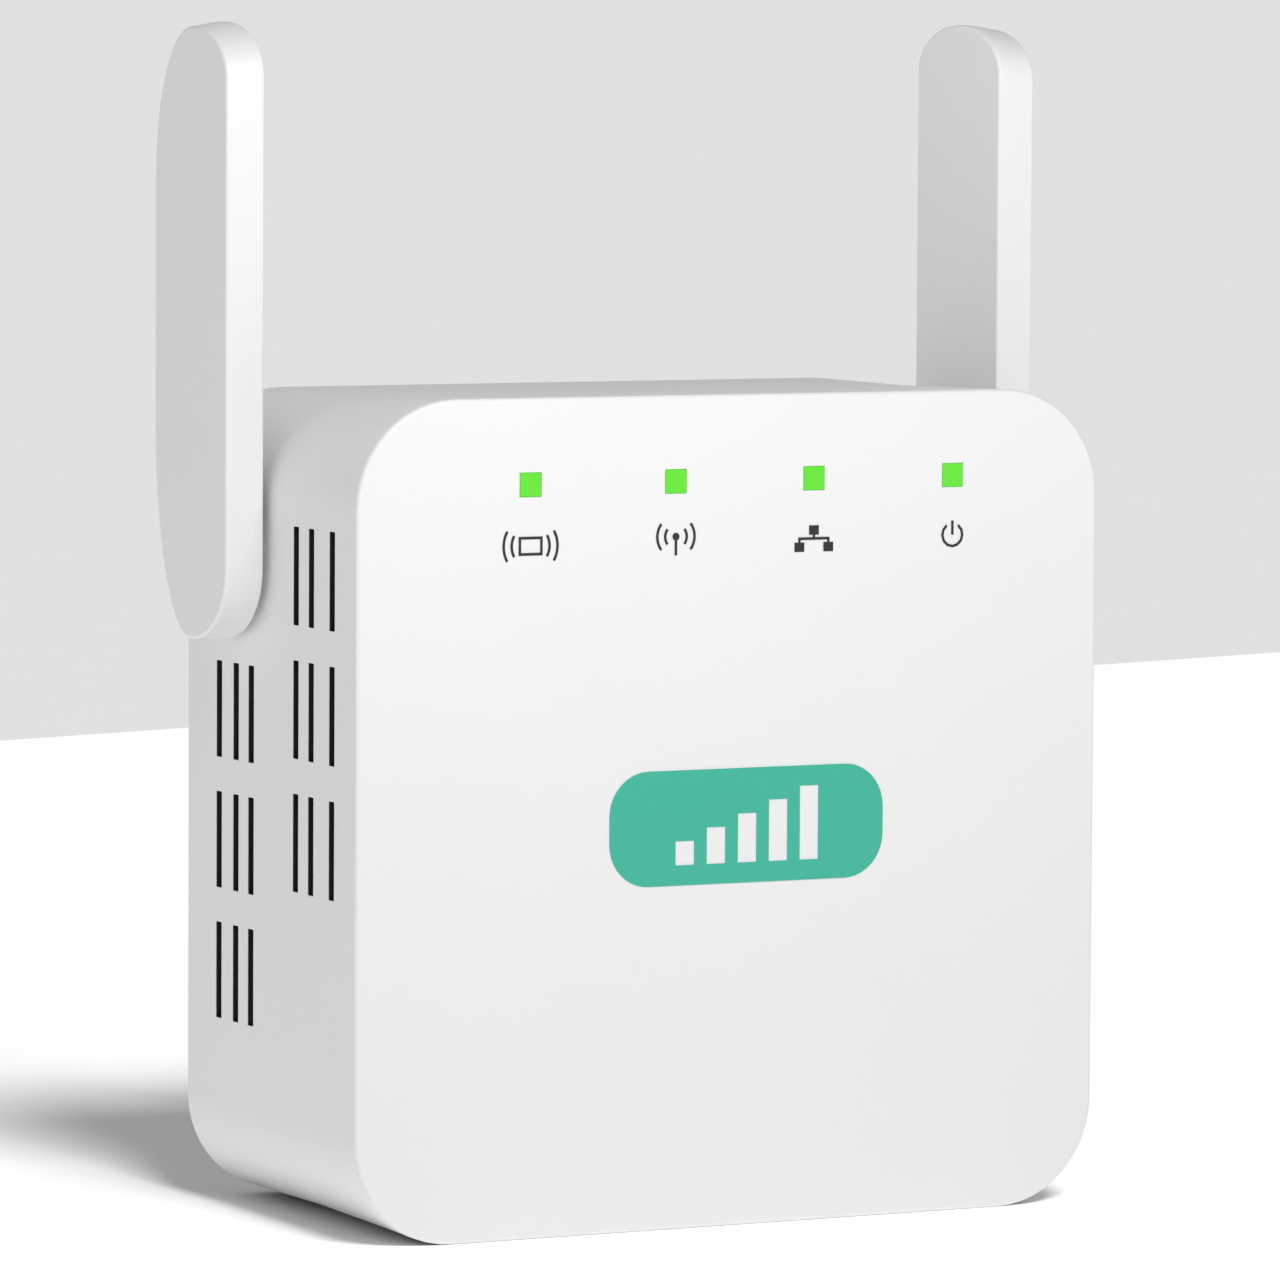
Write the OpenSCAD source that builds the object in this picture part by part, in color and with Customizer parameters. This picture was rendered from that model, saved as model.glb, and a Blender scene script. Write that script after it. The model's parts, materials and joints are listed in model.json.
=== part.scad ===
// Plug-in wireless range extender: a square white body with a snap-on front cover,
// two flat antennas that swing on the sides, and a two-pin plug on the back.
// Millimetres. The front faces -Y, +Z is up, and the origin is on the surface that it stands on,
// below the middle of its outer box.

/* [Body] */
// Width and height of the square front cover
cover_size = 76; // [75:0.5:78]
// Corner radius of the front cover
cover_radius = 9.8; // [8:0.1:11]
// Thickness of the front cover's plate
cover_thickness = 1.8; // [1.6:0.1:2]
// How far the cover stands out past the housing on each side
cover_overhang = 0.5; // [0.3:0.1:0.6]
// Depth of the body from its front face to its back face
body_depth = 38; // [38:0.5:40]
// Thickness of the housing's walls
wall = 1.8; // [1.6:0.1:2]
// Thickness of the printed symbols and the badge
print_thickness = 0.05; // [0.03:0.01:0.1]

/* [Antennas] */
// Width of an antenna's paddle
antenna_width = 15.8; // [15:0.1:16.5]
// Thickness of an antenna's paddle
antenna_thickness = 3.8; // [3.6:0.1:4.5]
// Length of an antenna's paddle from end to end
antenna_length = 56.3; // [50:0.1:60]
// Height of the round at the free end's front edge
front_top = 4.8; // [4:0.1:6]
// Height of the round at the hinge end's front edge
front_low = 6.8; // [6:0.1:8]
// Height of the inner face's round at the free end's rear edge
inner_rear_top = 4.2; // [4:0.1:8]
// Height of the inner face's round at the hinge end's rear edge
inner_rear_low = 6.8; // [6:0.1:8]
// Height of the outer face's long round at the free end's rear edge
outer_rear_top = 13.8; // [8:0.1:15]
// Height of the outer face's long round at the hinge end's rear edge
outer_rear_low = 19.5; // [10:0.5:23]
// How much lower the outer face's free end is than the inner face's
outer_drop = 0.4; // [0:0.1:0.8]
// Height of the hinge above the paddle's lower end
hinge_rise = 7.4; // [7.3:0.1:8]
// Gap between the housing's side and the paddle
antenna_gap = 0.7; // [0.7:0.05:1.2]
// Height of the hinge above the base
hinge_height = 60.5; // [58:0.1:62]
// Distance of the hinge behind the front face
hinge_setback = 27.15; // [26:0.05:27.5]
// Radius of the hollow hinge tube
hinge_radius = 4; // [3.5:0.1:4.2]
// Running clearance of the hinge tube in the housing
hinge_clearance = 0.05; // [0.03:0.01:0.1]

/* [Vents] */
// Width of one vent slot
slot_width = 1.2; // [0.8:0.1:1.2]
// Height of one vent slot
slot_height = 8.9; // [8:0.1:9.5]
// Distance between one row of slots and the next
row_pitch = 12.1; // [11.5:0.1:12.5]

/* [Lights] */
// Width and height of one light window
window_size = 2.1; // [1.8:0.1:2.4]
// Height of the windows above the base
window_height = 68.2; // [67.8:0.1:68.5]
// Height of the printed symbols' middle above the base
symbol_height = 62.7; // [62:0.1:63.5]

/* [Badge] */
// Width of the badge
badge_width = 28.2; // [20:0.1:32]
// Height of the badge
badge_height = 10.5; // [9:0.1:13]
// Height of the badge's middle above the base
badge_middle = 36.7; // [30:0.1:42]

/* [Plug] */
// Depth of the plug's boss behind the body
boss_depth = 14; // [13:0.5:15]
// Width of the plug's boss
boss_width = 35.3; // [35:0.1:36]
// Height of the plug's boss
boss_height = 13.7; // [13.5:0.1:14]
// Height of the plug's middle above the base
plug_height = 45; // [44:0.5:46]
// Length of a pin past the boss
pin_length = 19; // [18:0.5:20]
// Radius of a pin's bare tip
pin_radius = 2; // [1.95:0.01:2.05]
// Distance between the pins
pin_spacing = 18.6; // [18:0.1:19.2]

/* [Buttons] */
// Radius of the pairing button
button_radius = 2.5; // [2.2:0.1:2.8]
// Distance of the pairing button and of the reset hole from the middle
button_offset = 18; // [17:0.5:19]

/* [Hidden] */
$fn = 48;

arc_steps = 10;
// a cut runs this far past the face that it opens
cut = 1;
// a little play where two fixed pieces meet
play = 0.1;

total_depth = print_thickness + body_depth + boss_depth + pin_length;
front_y = print_thickness - total_depth / 2;
seam_y = front_y + cover_thickness;
rear_y = front_y + body_depth;
boss_y = rear_y + boss_depth;
tip_y = boss_y + pin_length;
middle_z = cover_size / 2;

housing_size = cover_size - 2 * cover_overhang;
housing_radius = cover_radius - cover_overhang;
inner_size = housing_size - 2 * wall;
inner_radius = housing_radius - wall;
side_x = housing_size / 2;
floor_z = cover_overhang;
inner_floor_z = floor_z + wall;
back_wall = 2;
inner_back_y = rear_y - back_wall;

// the housing widens gently towards the cover, and stops a little short of its edge
flare_depth = 19;
flare_lip = 0.05;

skirt_depth = 2.5;
skirt_wall = 1.2;
snap_width = 8;
snap_depth = 1.2;
snap_height = 0.5;
snap_places = [-18, 18];

// vent slots, as distances behind the front face, and the middle heights of each column's top row
front_slots = [5.5, 10.1, 13.5];
back_slots = [23.5, 26.8, 30.5];
front_column_top = 59.6;
back_column_top = 46.3;
row_count = 3;

light_places = [-20.8, -6.1, 8.1, 22.6];

// the main circuit board stands behind the cover, with its parts towards the front
board_thickness = 1.6;
board_front = front_y + 9.5;
board_back = board_front + board_thickness;
board_half = 31;
board_bottom = 4;
board_top = 71;
sheet_thickness = 0.3;

// screws, and the posts that they hold in
post_radius = 3;
post_x = 28;
post_low = 10;
post_high = 66;
pilot_radius = 1.1;
pilot_depth = 8;
screw_radius = 1.05;
screw_hole = 1.5;
head_radius = 2.3;
head_height = 1.5;

// the power supply board stands in front of the plug
power_back = inner_back_y - 2.9;
power_front = power_back - board_thickness;
power_half = 24;
power_bottom = 24;
power_top = 70;
power_screw_x = 20.5;
power_screw_z = 27.5;

hinge_y = front_y + hinge_setback;
paddle_x = side_x + antenna_gap;
// the paddle's faces: how far the free end is drawn down, and the heights of the two rear rounds
inner_face = [0, inner_rear_top, inner_rear_low];
outer_face = [outer_drop, outer_rear_top, outer_rear_low];
lid_thickness = 0.8;
shell_wall = 1;
hinge_ring = 0.7;
hinge_ring_radius = 7;
hinge_bore = hinge_radius + hinge_clearance;
ring_x = side_x - wall - hinge_ring;
washer_thickness = 0.3;
clip_thickness = 0.6;
clip_groove = 0.6;
clip_x = ring_x - play - washer_thickness - clip_thickness;
tube_end_x = clip_x - 0.3;
collar_radius = 6.3;
collar_clearance = 0.2;
lead_radius = 0.55;
lead_hole = 1.8;
lead_x = paddle_x + lid_thickness + lead_radius + 0.05;

// network jack, with its mouth downwards
jack_half = 8;
jack_depth = 13.5;
jack_mouth_z = floor_z + 0.2;
jack_top_z = 16.5;
jack_front = board_back;
cavity_half = 5.9;
cavity_front = jack_front + 2;
cavity_depth = 8;
cavity_top_z = 13;
latch_half = 3.2;
latch_depth = 2;
contact_pitch = 1.016;
contact_count = 8;

// push switches under the circuit board's lower edge
switch_half = 3;
switch_depth = 3.5;
switch_z = 5;
switch_height = 3.5;
stem_radius = 0.8;
stem_clearance = 0.05;
stem_top = switch_z + 0.6;
button_y = board_back + switch_depth / 2;
button_clearance = 0.1;
button_face = floor_z + 0.1;
button_flange = 0.6;
button_flange_z = inner_floor_z + 0.05;
reset_hole = 0.6;
reset_stem_z = 3.4;

// the pins: a thick shank held in the boss, a thin neck in the sleeve, and a bare tip
shank_radius = 2.4;
neck_radius = 1.5;
tail_radius = 0.8;
pin_tip = 1;
pin_tip_radius = 1.1;
sleeve_length = 10;
sleeve_radius = 1.8;
sleeve_root = 2;

// the transformer stands on end: its core's legs run along Y, and the winding is around the middle one
core_x = 8;
core_leg = 2.2;
core_half = 2.6;
core_z = 58;
core_plate = 2.6;
core_front = power_front - 13.5;
core_back = power_front - 1.3;
bobbin_tube = 0.5;
bobbin_flange = 0.8;
bobbin_x = 5.6;
bobbin_z = 6.8;

// places of other parts on the two boards
input_capacitor_places = [-4.5, 4.5];
output_capacitor_heights = [55, 65];
power_lead_x = [-20.5, -17.5];
chip_x = -4;
chip_z = 44;
connector_x = 28;
connector_z = 46;

function arc(c, r, from, to) = ellipse_arc(c, [r, r], from, to);

// Part of an ellipse about c, from one angle to another.
function ellipse_arc(c, radii, from, to) =
    [for (i = [0 : arc_steps]) let (a = from + (to - from) * i / arc_steps)
        c + [radii[0] * cos(a), radii[1] * sin(a)]];

function rounded(w, h, r) = concat(
    arc([w / 2 - r, h / 2 - r], r, 0, 90),
    arc([r - w / 2, h / 2 - r], r, 90, 180),
    arc([r - w / 2, r - h / 2], r, 180, 270),
    arc([w / 2 - r, r - h / 2], r, 270, 360));

// The outline of one face of a paddle about its hinge: four quarter ellipses of different heights.
function paddle(face, inset = 0) = let (
    half = antenna_width / 2 - inset,
    high = antenna_length - hinge_rise - face[0],
    low = -hinge_rise) concat(
    ellipse_arc([0, high - face[1]], [half, face[1] - inset], 0, 90),
    ellipse_arc([0, high - front_top], [half, front_top - inset], 90, 180),
    ellipse_arc([0, low + front_low], [half, front_low - inset], 180, 270),
    ellipse_arc([0, low + face[2]], [half, face[2] - inset], 270, 360));

// The direction of a path at its point i, and a ring of points about that point.
function heading(path, i) = let (
    a = path[max(i - 1, 0)],
    b = path[min(i + 1, len(path) - 1)]) (b - a) / norm(b - a);

function ring(path, i, r, sides) = let (
    t = heading(path, i),
    n0 = cross(t, [0.36, 0.48, 0.8]),
    n = n0 / norm(n0),
    b = cross(t, n)) [for (k = [0 : sides - 1]) path[i] + r * (cos(360 * k / sides) * n
        + sin(360 * k / sides) * b)];

// A thin wire or cable along a path.
module wire(path, r, sides = 8) {
    last = len(path) - 1;
    points = [for (i = [0 : last]) each ring(path, i, r, sides)];
    sleeve = [for (i = [0 : last - 1]) for (k = [0 : sides - 1]) let (
        j = (k + 1) % sides,
        a = i * sides,
        b = a + sides) each [[a + k, b + k, b + j], [a + k, b + j, a + j]]];
    near_end = [for (k = [0 : sides - 1]) k];
    far_end = [for (k = [0 : sides - 1]) last * sides + sides - 1 - k];
    polyhedron(points, concat(sleeve, [near_end], [far_end]));
}

// A box from one corner to the opposite one.
module block(low, high) {
    translate(low) cube(high - low);
}

// An outline in X and Z, made solid from y = from to y = to.
module along_y(from, to) {
    translate([0, to, 0]) rotate([90, 0, 0]) linear_extrude(to - from) children();
}

// A cylinder along Y, from y = from to y = to, about [x, z].
module rod_y(x, z, r, from, to) {
    translate([x, to, z]) rotate([90, 0, 0]) cylinder(r = r, h = to - from);
}

// An outline in Y and Z about the hinge, made solid from x = from to x = to.
module hinge_prism(from, to) {
    translate([from, hinge_y, hinge_height]) rotate([90, 0, 90]) linear_extrude(to - from) children();
}

// A cylinder along X about the hinge's axis.
module hinge_rod(r, from, to) {
    translate([from, hinge_y, hinge_height]) rotate([0, 90, 0]) cylinder(r = r, h = to - from);
}

module body_outline(size, r) {
    translate([0, middle_z]) polygon(rounded(size, size, r));
}

module both_sides() {
    children();
    mirror([1, 0, 0]) children();
}

module vent_slots() {
    for (row = [0 : row_count - 1]) {
        for (setback = front_slots) slot(setback, front_column_top - row * row_pitch);
        for (setback = back_slots) slot(setback, back_column_top - row * row_pitch);
    }
}

module slot(setback, z) {
    y = front_y + setback;
    block([side_x - wall - cut, y - slot_width / 2, z - slot_height / 2],
        [side_x + cut, y + slot_width / 2, z + slot_height / 2]);
}

module snap_ridges(inset) {
    for (x = snap_places) for (side = [0, 1]) translate([0, 0, side * cover_size])
        mirror([0, 0, side]) block(
            [x - snap_width / 2 - inset, seam_y + 0.9, inner_floor_z - snap_height],
            [x + snap_width / 2 + inset, seam_y + 0.9 + snap_depth + inset, inner_floor_z + 0.4]);
}

module posts() {
    for (z = [post_low, post_high]) rod_y(post_x, z, post_radius, post_end(z), inner_back_y);
    rod_y(power_screw_x, power_screw_z, post_radius, power_back, inner_back_y);
}

function post_end(z) = z == post_high ? board_back + sheet_thickness : board_back;

module pilot_holes() {
    for (z = [post_low, post_high])
        rod_y(post_x, z, pilot_radius, post_end(z) - cut, post_end(z) + pilot_depth);
    rod_y(power_screw_x, power_screw_z, pilot_radius, power_back - cut, rear_y - 0.8);
}

module flare() {
    thin = 0.01;
    wide = cover_size - 2 * flare_lip;
    hull() {
        along_y(seam_y, seam_y + thin) body_outline(wide, cover_radius - flare_lip);
        along_y(seam_y + flare_depth - thin, seam_y + flare_depth)
            body_outline(housing_size, housing_radius);
    }
}

module rear_housing() {
    color("white") difference() {
        union() {
            difference() {
                union() {
                    along_y(seam_y, rear_y) body_outline(housing_size, housing_radius);
                    flare();
                }
                along_y(seam_y - cut, inner_back_y) body_outline(inner_size, inner_radius);
            }
            both_sides() {
                posts();
                hinge_rod(hinge_ring_radius, ring_x, side_x - wall / 2);
            }
        }
        both_sides() {
            vent_slots();
            pilot_holes();
            hinge_rod(hinge_bore, ring_x - cut, side_x + cut);
        }
        snap_ridges(play);
        // the plug, the network jack, the pairing button and the reset pin come through these
        along_y(inner_back_y - cut, rear_y + cut) plug_outline(play);
        block([-jack_half - 0.15, jack_front - 0.15, floor_z - cut],
            [jack_half + 0.15, jack_front + jack_depth + 0.15, inner_floor_z + cut]);
        translate([button_offset, button_y, floor_z - cut])
            cylinder(r = button_radius + button_clearance, h = wall + 2 * cut);
        translate([-button_offset, button_y, floor_z - cut])
            cylinder(r = reset_hole, h = wall + 2 * cut);
    }
}

module front_cover() {
    color("white") difference() {
        union() {
            along_y(front_y, seam_y) body_outline(cover_size, cover_radius);
            difference() {
                along_y(seam_y, seam_y + skirt_depth)
                    body_outline(inner_size - 2 * play, inner_radius - play);
                along_y(seam_y - cut, seam_y + skirt_depth + cut)
                    body_outline(inner_size - 2 * skirt_wall, inner_radius - skirt_wall);
            }
            snap_ridges(0);
        }
        for (x = light_places) light_hole(x);
    }
}

module light_hole(x) {
    half = window_size / 2 + play / 2;
    block([x - half, front_y - cut, window_height - half],
        [x + half, seam_y + cut, window_height + half]);
}

// A plain badge: a round-cornered field with a row of rising bars left open in it.
module badge() {
    bar = 1.9;
    gap = 1.3;
    count = 5;
    low = 2.2;
    rise = 1.15;
    color([0.2, 0.68, 0.58]) along_y(front_y - print_thickness, front_y)
        translate([1.4, badge_middle]) difference() {
            polygon(rounded(badge_width, badge_height, 4));
            for (i = [0 : count - 1])
                translate([(i - (count - 1) / 2) * (bar + gap) - bar / 2, -3.4])
                    square([bar, low + i * rise]);
        }
}

// Part of a ring, as an outline.
module ring_part(r, w, from, to) {
    polygon(concat(arc([0, 0], r + w / 2, from, to), arc([0, 0], r - w / 2, to, from)));
}

module symbol_repeat(w) {
    // a box with waves on both sides
    difference() {
        square([2.4, 1.7], center = true);
        square([2.4 - 2 * w, 1.7 - 2 * w], center = true);
    }
    for (turn = [0, 180]) rotate(turn) for (r = [1.9, 2.7]) ring_part(r, w, -30, 30);
}

module symbol_antenna(w) {
    // a mast with waves on both sides
    translate([-w / 2, -1.2]) square([w, 1.7]);
    translate([0, 0.5]) circle(r = 0.35);
    for (turn = [0, 180]) translate([0, 0.5]) rotate(turn)
        for (r = [1.1, 1.9]) ring_part(r, w, -38, 38);
}

module symbol_network(w) {
    // three linked boxes
    translate([-0.5, 0.35]) square([1, 0.85]);
    for (x = [-1.5, 1.5]) translate([x - 0.5, -1.2]) square([1, 0.85]);
    translate([-1.5 - w / 2, -0.12]) square([3 + w, w]);
    translate([-w / 2, -0.02]) square([w, 0.5]);
    for (x = [-1.5, 1.5]) translate([x - w / 2, -0.45]) square([w, 0.45]);
}

module symbol_power(w) {
    // a broken ring and a bar
    ring_part(1.05, w, 125, 415);
    translate([-w / 2, 0]) square([w, 1.3]);
}

module light_symbols() {
    stroke = 0.24;
    color("black") along_y(front_y - print_thickness, front_y) {
        translate([light_places[0], symbol_height]) symbol_repeat(stroke);
        translate([light_places[1], symbol_height]) symbol_antenna(stroke);
        translate([light_places[2], symbol_height]) symbol_network(stroke);
        translate([light_places[3], symbol_height]) symbol_power(stroke);
    }
}

module light_pipe() {
    half = window_size / 2;
    bar_y = seam_y;
    color([0.3, 0.9, 0.2]) {
        for (x = light_places)
            block([x - half, front_y, window_height - half],
                [x + half, board_front - 1.4, window_height + half]);
        block([light_places[0] - 1.5, bar_y, window_height - half - 1.2],
            [light_places[3] + 1.5, bar_y + 1.4, window_height - half]);
        for (x = light_places)
            block([x - half, bar_y, window_height - half - 0.2],
                [x + half, bar_y + 1.4, window_height - half + 0.2]);
    }
}

module status_lights() {
    color([0.7, 0.95, 0.6]) for (x = light_places)
        block([x - 1, board_front - 1.1, window_height - 0.7],
            [x + 1, board_front, window_height + 0.7]);
}

module rating_label() {
    color([0.9, 0.9, 0.9]) along_y(rear_y, rear_y + 0.1)
        translate([0, 20]) polygon(rounded(36, 20, 1.5));
}

// A two-pin plug's outline, with the ends cut back at the corners.
module plug_outline(grow = 0) {
    w = boss_width / 2 + grow;
    h = boss_height / 2 + grow;
    end = 2.6;
    corner = 4.6;
    translate([0, plug_height]) polygon([
        [w, -end], [w, end], [w - corner, h], [corner - w, h],
        [-w, end], [-w, -end], [corner - w, -h], [w - corner, -h]]);
}

module plug_insert() {
    face = 3;
    shell = 1.8;
    flange = 1.5;
    color("white") difference() {
        union() {
            difference() {
                union() {
                    along_y(inner_back_y, boss_y) plug_outline();
                    along_y(inner_back_y - flange, inner_back_y) plug_outline(2);
                }
                along_y(inner_back_y - flange - cut, boss_y - face) plug_outline(-shell);
            }
            both_sides() rod_y(pin_spacing / 2, plug_height, 4, rear_y + 2, boss_y - face / 2);
        }
        both_sides() {
            rod_y(pin_spacing / 2, plug_height, shank_radius, rear_y, boss_y - sleeve_root);
            rod_y(pin_spacing / 2, plug_height, sleeve_radius, rear_y, boss_y + cut);
        }
    }
}

module plug_pins() {
    color("silver") both_sides() {
        x = pin_spacing / 2;
        rod_y(x, plug_height, pin_radius, boss_y + sleeve_length, tip_y - pin_tip);
        translate([x, tip_y, plug_height]) rotate([90, 0, 0])
            cylinder(r1 = pin_tip_radius, r2 = pin_radius, h = pin_tip);
        rod_y(x, plug_height, neck_radius, boss_y - sleeve_root - cut, boss_y + sleeve_length);
        rod_y(x, plug_height, shank_radius, rear_y + 1, boss_y - sleeve_root);
        rod_y(x, plug_height, tail_radius, power_front - 1.2, rear_y + 1);
    }
}

module pin_sleeves() {
    from = boss_y - sleeve_root;
    to = boss_y + sleeve_length;
    color([0.15, 0.15, 0.15]) both_sides() difference() {
        rod_y(pin_spacing / 2, plug_height, sleeve_radius, from, to);
        rod_y(pin_spacing / 2, plug_height, neck_radius, from - cut, to + cut);
    }
}

module power_board() {
    color([0.75, 0.6, 0.3]) difference() {
        block([-power_half, power_front, power_bottom], [power_half, power_back, power_top]);
        both_sides() {
            rod_y(power_screw_x, power_screw_z, screw_hole, power_front - cut, power_back + cut);
            rod_y(pin_spacing / 2, plug_height, tail_radius + play, power_front - cut, power_back + cut);
        }
    }
}

// A pan-head screw along Y, with its head's underside at y = seat and its tip behind it.
module screw(x, z, seat, length) {
    difference() {
        union() {
            rod_y(x, z, head_radius, seat - head_height, seat);
            rod_y(x, z, screw_radius, seat, seat + length);
        }
        for (turn = [0, 90]) translate([x, seat - head_height, z]) rotate([0, turn, 0])
            cube([2.8, 1.4, 0.6], center = true);
    }
}

module power_board_screws() {
    color("silver") for (x = [-power_screw_x, power_screw_x])
        screw(x, power_screw_z, power_front, 5);
}

module board_screws() {
    color("silver") for (x = [-post_x, post_x]) for (z = [post_low, post_high])
        screw(x, z, board_front, 8);
}

module fuse_resistor() {
    axis_y = power_front - 2;
    color([0.35, 0.5, 0.35]) {
        translate([-22, axis_y, 51]) rotate([0, 90, 0]) cylinder(r = 1.6, h = 9);
        for (x = [-22.6, -12.4]) rod_y(x, 51, 0.35, axis_y - 0.35, power_front);
        translate([-22.6, axis_y, 51]) rotate([0, 90, 0]) cylinder(r = 0.3, h = 10.2);
    }
}

module surge_disc() {
    color([0.2, 0.35, 0.6]) {
        translate([-19.7, power_front - 5, 42.5]) rotate([0, 90, 0]) cylinder(r = 3.5, h = 3);
        for (z = [40.5, 44.5]) rod_y(-18.2, z, 0.3, power_front - 4, power_front);
    }
}

module bridge_rectifier() {
    color([0.12, 0.12, 0.12]) block([-19.5, power_front - 2.4, 32.8], [-14.7, power_front, 36.6]);
    color("silver") for (x = [-18.4, -15.8])
        block([x - 0.35, power_front - 0.3, 31.8], [x + 0.35, power_front, 37.6]);
}

module input_choke() {
    color([0.25, 0.2, 0.18]) {
        rod_y(-13, 28.5, 3.2, power_front - 9, power_front - 7.8);
        rod_y(-13, 28.5, 2.6, power_front - 8, power_front - 1);
        rod_y(-13, 28.5, 3.2, power_front - 1.2, power_front);
    }
}

module input_capacitors() {
    color([0.12, 0.14, 0.3]) for (x = input_capacitor_places) difference() {
        rod_y(x, 31, 4, power_front - 14, power_front);
        for (turn = [0, 90]) translate([x, power_front - 14, 31]) rotate([0, turn, 0])
            cube([5, 0.5, 0.4], center = true);
    }
}

module switching_chip() {
    color([0.12, 0.12, 0.12]) block([12, power_front - 1.7, 41], [17, power_front - 0.1, 45]);
    color("silver") for (x = [12.6, 13.87, 15.13, 16.4])
        block([x - 0.2, power_front - 0.5, 40], [x + 0.2, power_front, 46]);
}

// A box centred on the transformer in X and Z.
module core_block(x, from, to, z) {
    block([-x, from, core_z - z], [x, to, core_z + z]);
}

module transformer_core() {
    color([0.25, 0.25, 0.27]) {
        core_block(core_x, core_front, core_front + core_plate, core_half);
        core_block(core_x, core_back - core_plate, core_back, core_half);
        core_block(core_leg, core_front + core_plate - 0.1, core_back - core_plate + 0.1, core_half);
        both_sides() block([core_x - core_leg, core_front + core_plate - 0.1, core_z - core_half],
            [core_x, core_back - core_plate + 0.1, core_z + core_half]);
    }
}

module transformer_bobbin() {
    from = core_front + core_plate + play;
    to = core_back - core_plate - play;
    tube = play + bobbin_tube;
    color([0.1, 0.1, 0.1]) difference() {
        union() {
            core_block(bobbin_x, from, from + bobbin_flange, bobbin_z);
            core_block(bobbin_x, to - bobbin_flange, to, bobbin_z);
            core_block(core_leg + tube, from, to, core_half + tube);
            for (side = [-1, 1]) {
                block([-bobbin_x, to - 0.1, core_z + side * (bobbin_z - 1.5) - 1.5],
                    [bobbin_x, power_front - 0.4, core_z + side * (bobbin_z - 1.5) + 1.5]);
                for (x = [-4.5, -1.5, 1.5, 4.5])
                    rod_y(x, core_z + side * (bobbin_z - 1.5), 0.35, power_front - 0.5, power_front);
            }
        }
        core_block(core_leg + play, from - cut, to + cut, core_half + play);
    }
}

module transformer_winding() {
    from = core_front + core_plate + play + bobbin_flange;
    to = core_back - core_plate - play - bobbin_flange;
    tube = play + bobbin_tube;
    color([0.85, 0.7, 0.25]) difference() {
        core_block(bobbin_x - 0.3, from, to, bobbin_z - 0.5);
        core_block(core_leg + tube, from - cut, to + cut, core_half + tube);
    }
}

module safety_capacitor() {
    color([0.15, 0.4, 0.75]) {
        translate([14.5, power_front - 5, 33.5]) rotate([0, 90, 0]) cylinder(r = 3.8, h = 3.2);
        for (z = [31, 36]) rod_y(16.1, z, 0.3, power_front - 4, power_front);
    }
}

module output_diode() {
    color([0.12, 0.12, 0.12]) block([-19.5, power_front - 2.3, 65.5], [-15, power_front, 69]);
    color("silver") block([-20.3, power_front - 0.4, 66.3], [-14.2, power_front, 68.2]);
}

module output_capacitors() {
    color([0.1, 0.25, 0.2]) for (z = output_capacitor_heights) difference() {
        rod_y(16, z, 4, power_front - 12, power_front);
        for (turn = [0, 90]) translate([16, power_front - 12, z]) rotate([0, turn, 0])
            cube([5, 0.5, 0.4], center = true);
    }
}

module power_connector() {
    color("ivory") difference() {
        block([-23, power_front - 6, 57], [-15, power_front, 63]);
        for (x = power_lead_x) rod_y(x, 60, 0.75, power_front - 6 - cut, power_front - 2);
    }
}

module power_leads() {
    colors = ["red", "black"];
    for (i = [0, 1]) color(colors[i]) wire([
        [power_lead_x[i], power_front - 2.5, 60], [power_lead_x[i], power_front - 8, 60],
        [power_lead_x[i] - 0.4, -15, 59.7], [power_lead_x[i] - 2, -18.2, 59.2],
        [-24.8 + i * 0.6, -20.2, 58.4 - i * 2.2], [-26.6 + i * 0.1, -21.8, 57.8 - i * 2.4],
        [-27, -23, 57.6 - i * 2.5], [-27, board_back, 57.6 - i * 2.5]], 0.6);
}

module insulation_sheet() {
    y = board_back;
    color([0.85, 0.85, 0.8]) difference() {
        union() {
            block([-power_half, y, 19], [power_half, y + sheet_thickness, 71]);
            block([-board_half, y, 62], [board_half, y + sheet_thickness, 70]);
        }
        for (x = [-post_x, post_x]) rod_y(x, post_high, screw_hole, y - cut, y + cut);
    }
}

module main_board() {
    color([0.05, 0.35, 0.15]) difference() {
        block([-board_half, board_front, board_bottom], [board_half, board_back, board_top]);
        for (x = [-post_x, post_x]) for (z = [post_low, post_high])
            rod_y(x, z, screw_hole, board_front - cut, board_back + cut);
    }
}

module radio_chip() {
    color([0.1, 0.1, 0.1]) block([chip_x - 5.5, board_front - 0.9, chip_z - 5.5],
        [chip_x + 5.5, board_front, chip_z + 5.5]);
}

module heat_sink() {
    fins = 6;
    half = 7;
    fin = 0.9;
    base_y = board_front - 0.9;
    color("silver") {
        block([chip_x - half, base_y - 1.4, chip_z - half], [chip_x + half, base_y, chip_z + half]);
        for (i = [0 : fins - 1]) let (x = chip_x - half + i * (2 * half - fin) / (fins - 1))
            block([x, base_y - 5, chip_z - half], [x + fin, base_y - 1.3, chip_z + half]);
    }
}

module memory_chip() {
    color([0.1, 0.1, 0.1]) block([12, board_front - 1.9, 41], [17.2, board_front - 0.1, 46.2]);
    color("silver") for (z = [41.7, 42.97, 44.23, 45.5])
        block([10.7, board_front - 0.5, z - 0.2], [18.5, board_front, z + 0.2]);
}

module crystal() {
    color("silver") block([-17, board_front - 0.9, 38.5], [-13.8, board_front, 41]);
}

module lan_transformer() {
    color([0.1, 0.1, 0.1]) block([-8, board_front - 4.2, 20], [8, board_front - 0.2, 27]);
    color("silver") for (i = [0 : 7]) let (x = -7 + 2 * i)
        block([x - 0.25, board_front - 0.5, 18.8], [x + 0.25, board_front, 28.2]);
}

module regulator_coil() {
    color([0.3, 0.3, 0.32]) difference() {
        block([15, board_front - 2.6, 54], [20, board_front, 59]);
        rod_y(17.5, 56.5, 1.7, board_front - 2.6 - cut, board_front - 2.2);
    }
}

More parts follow.
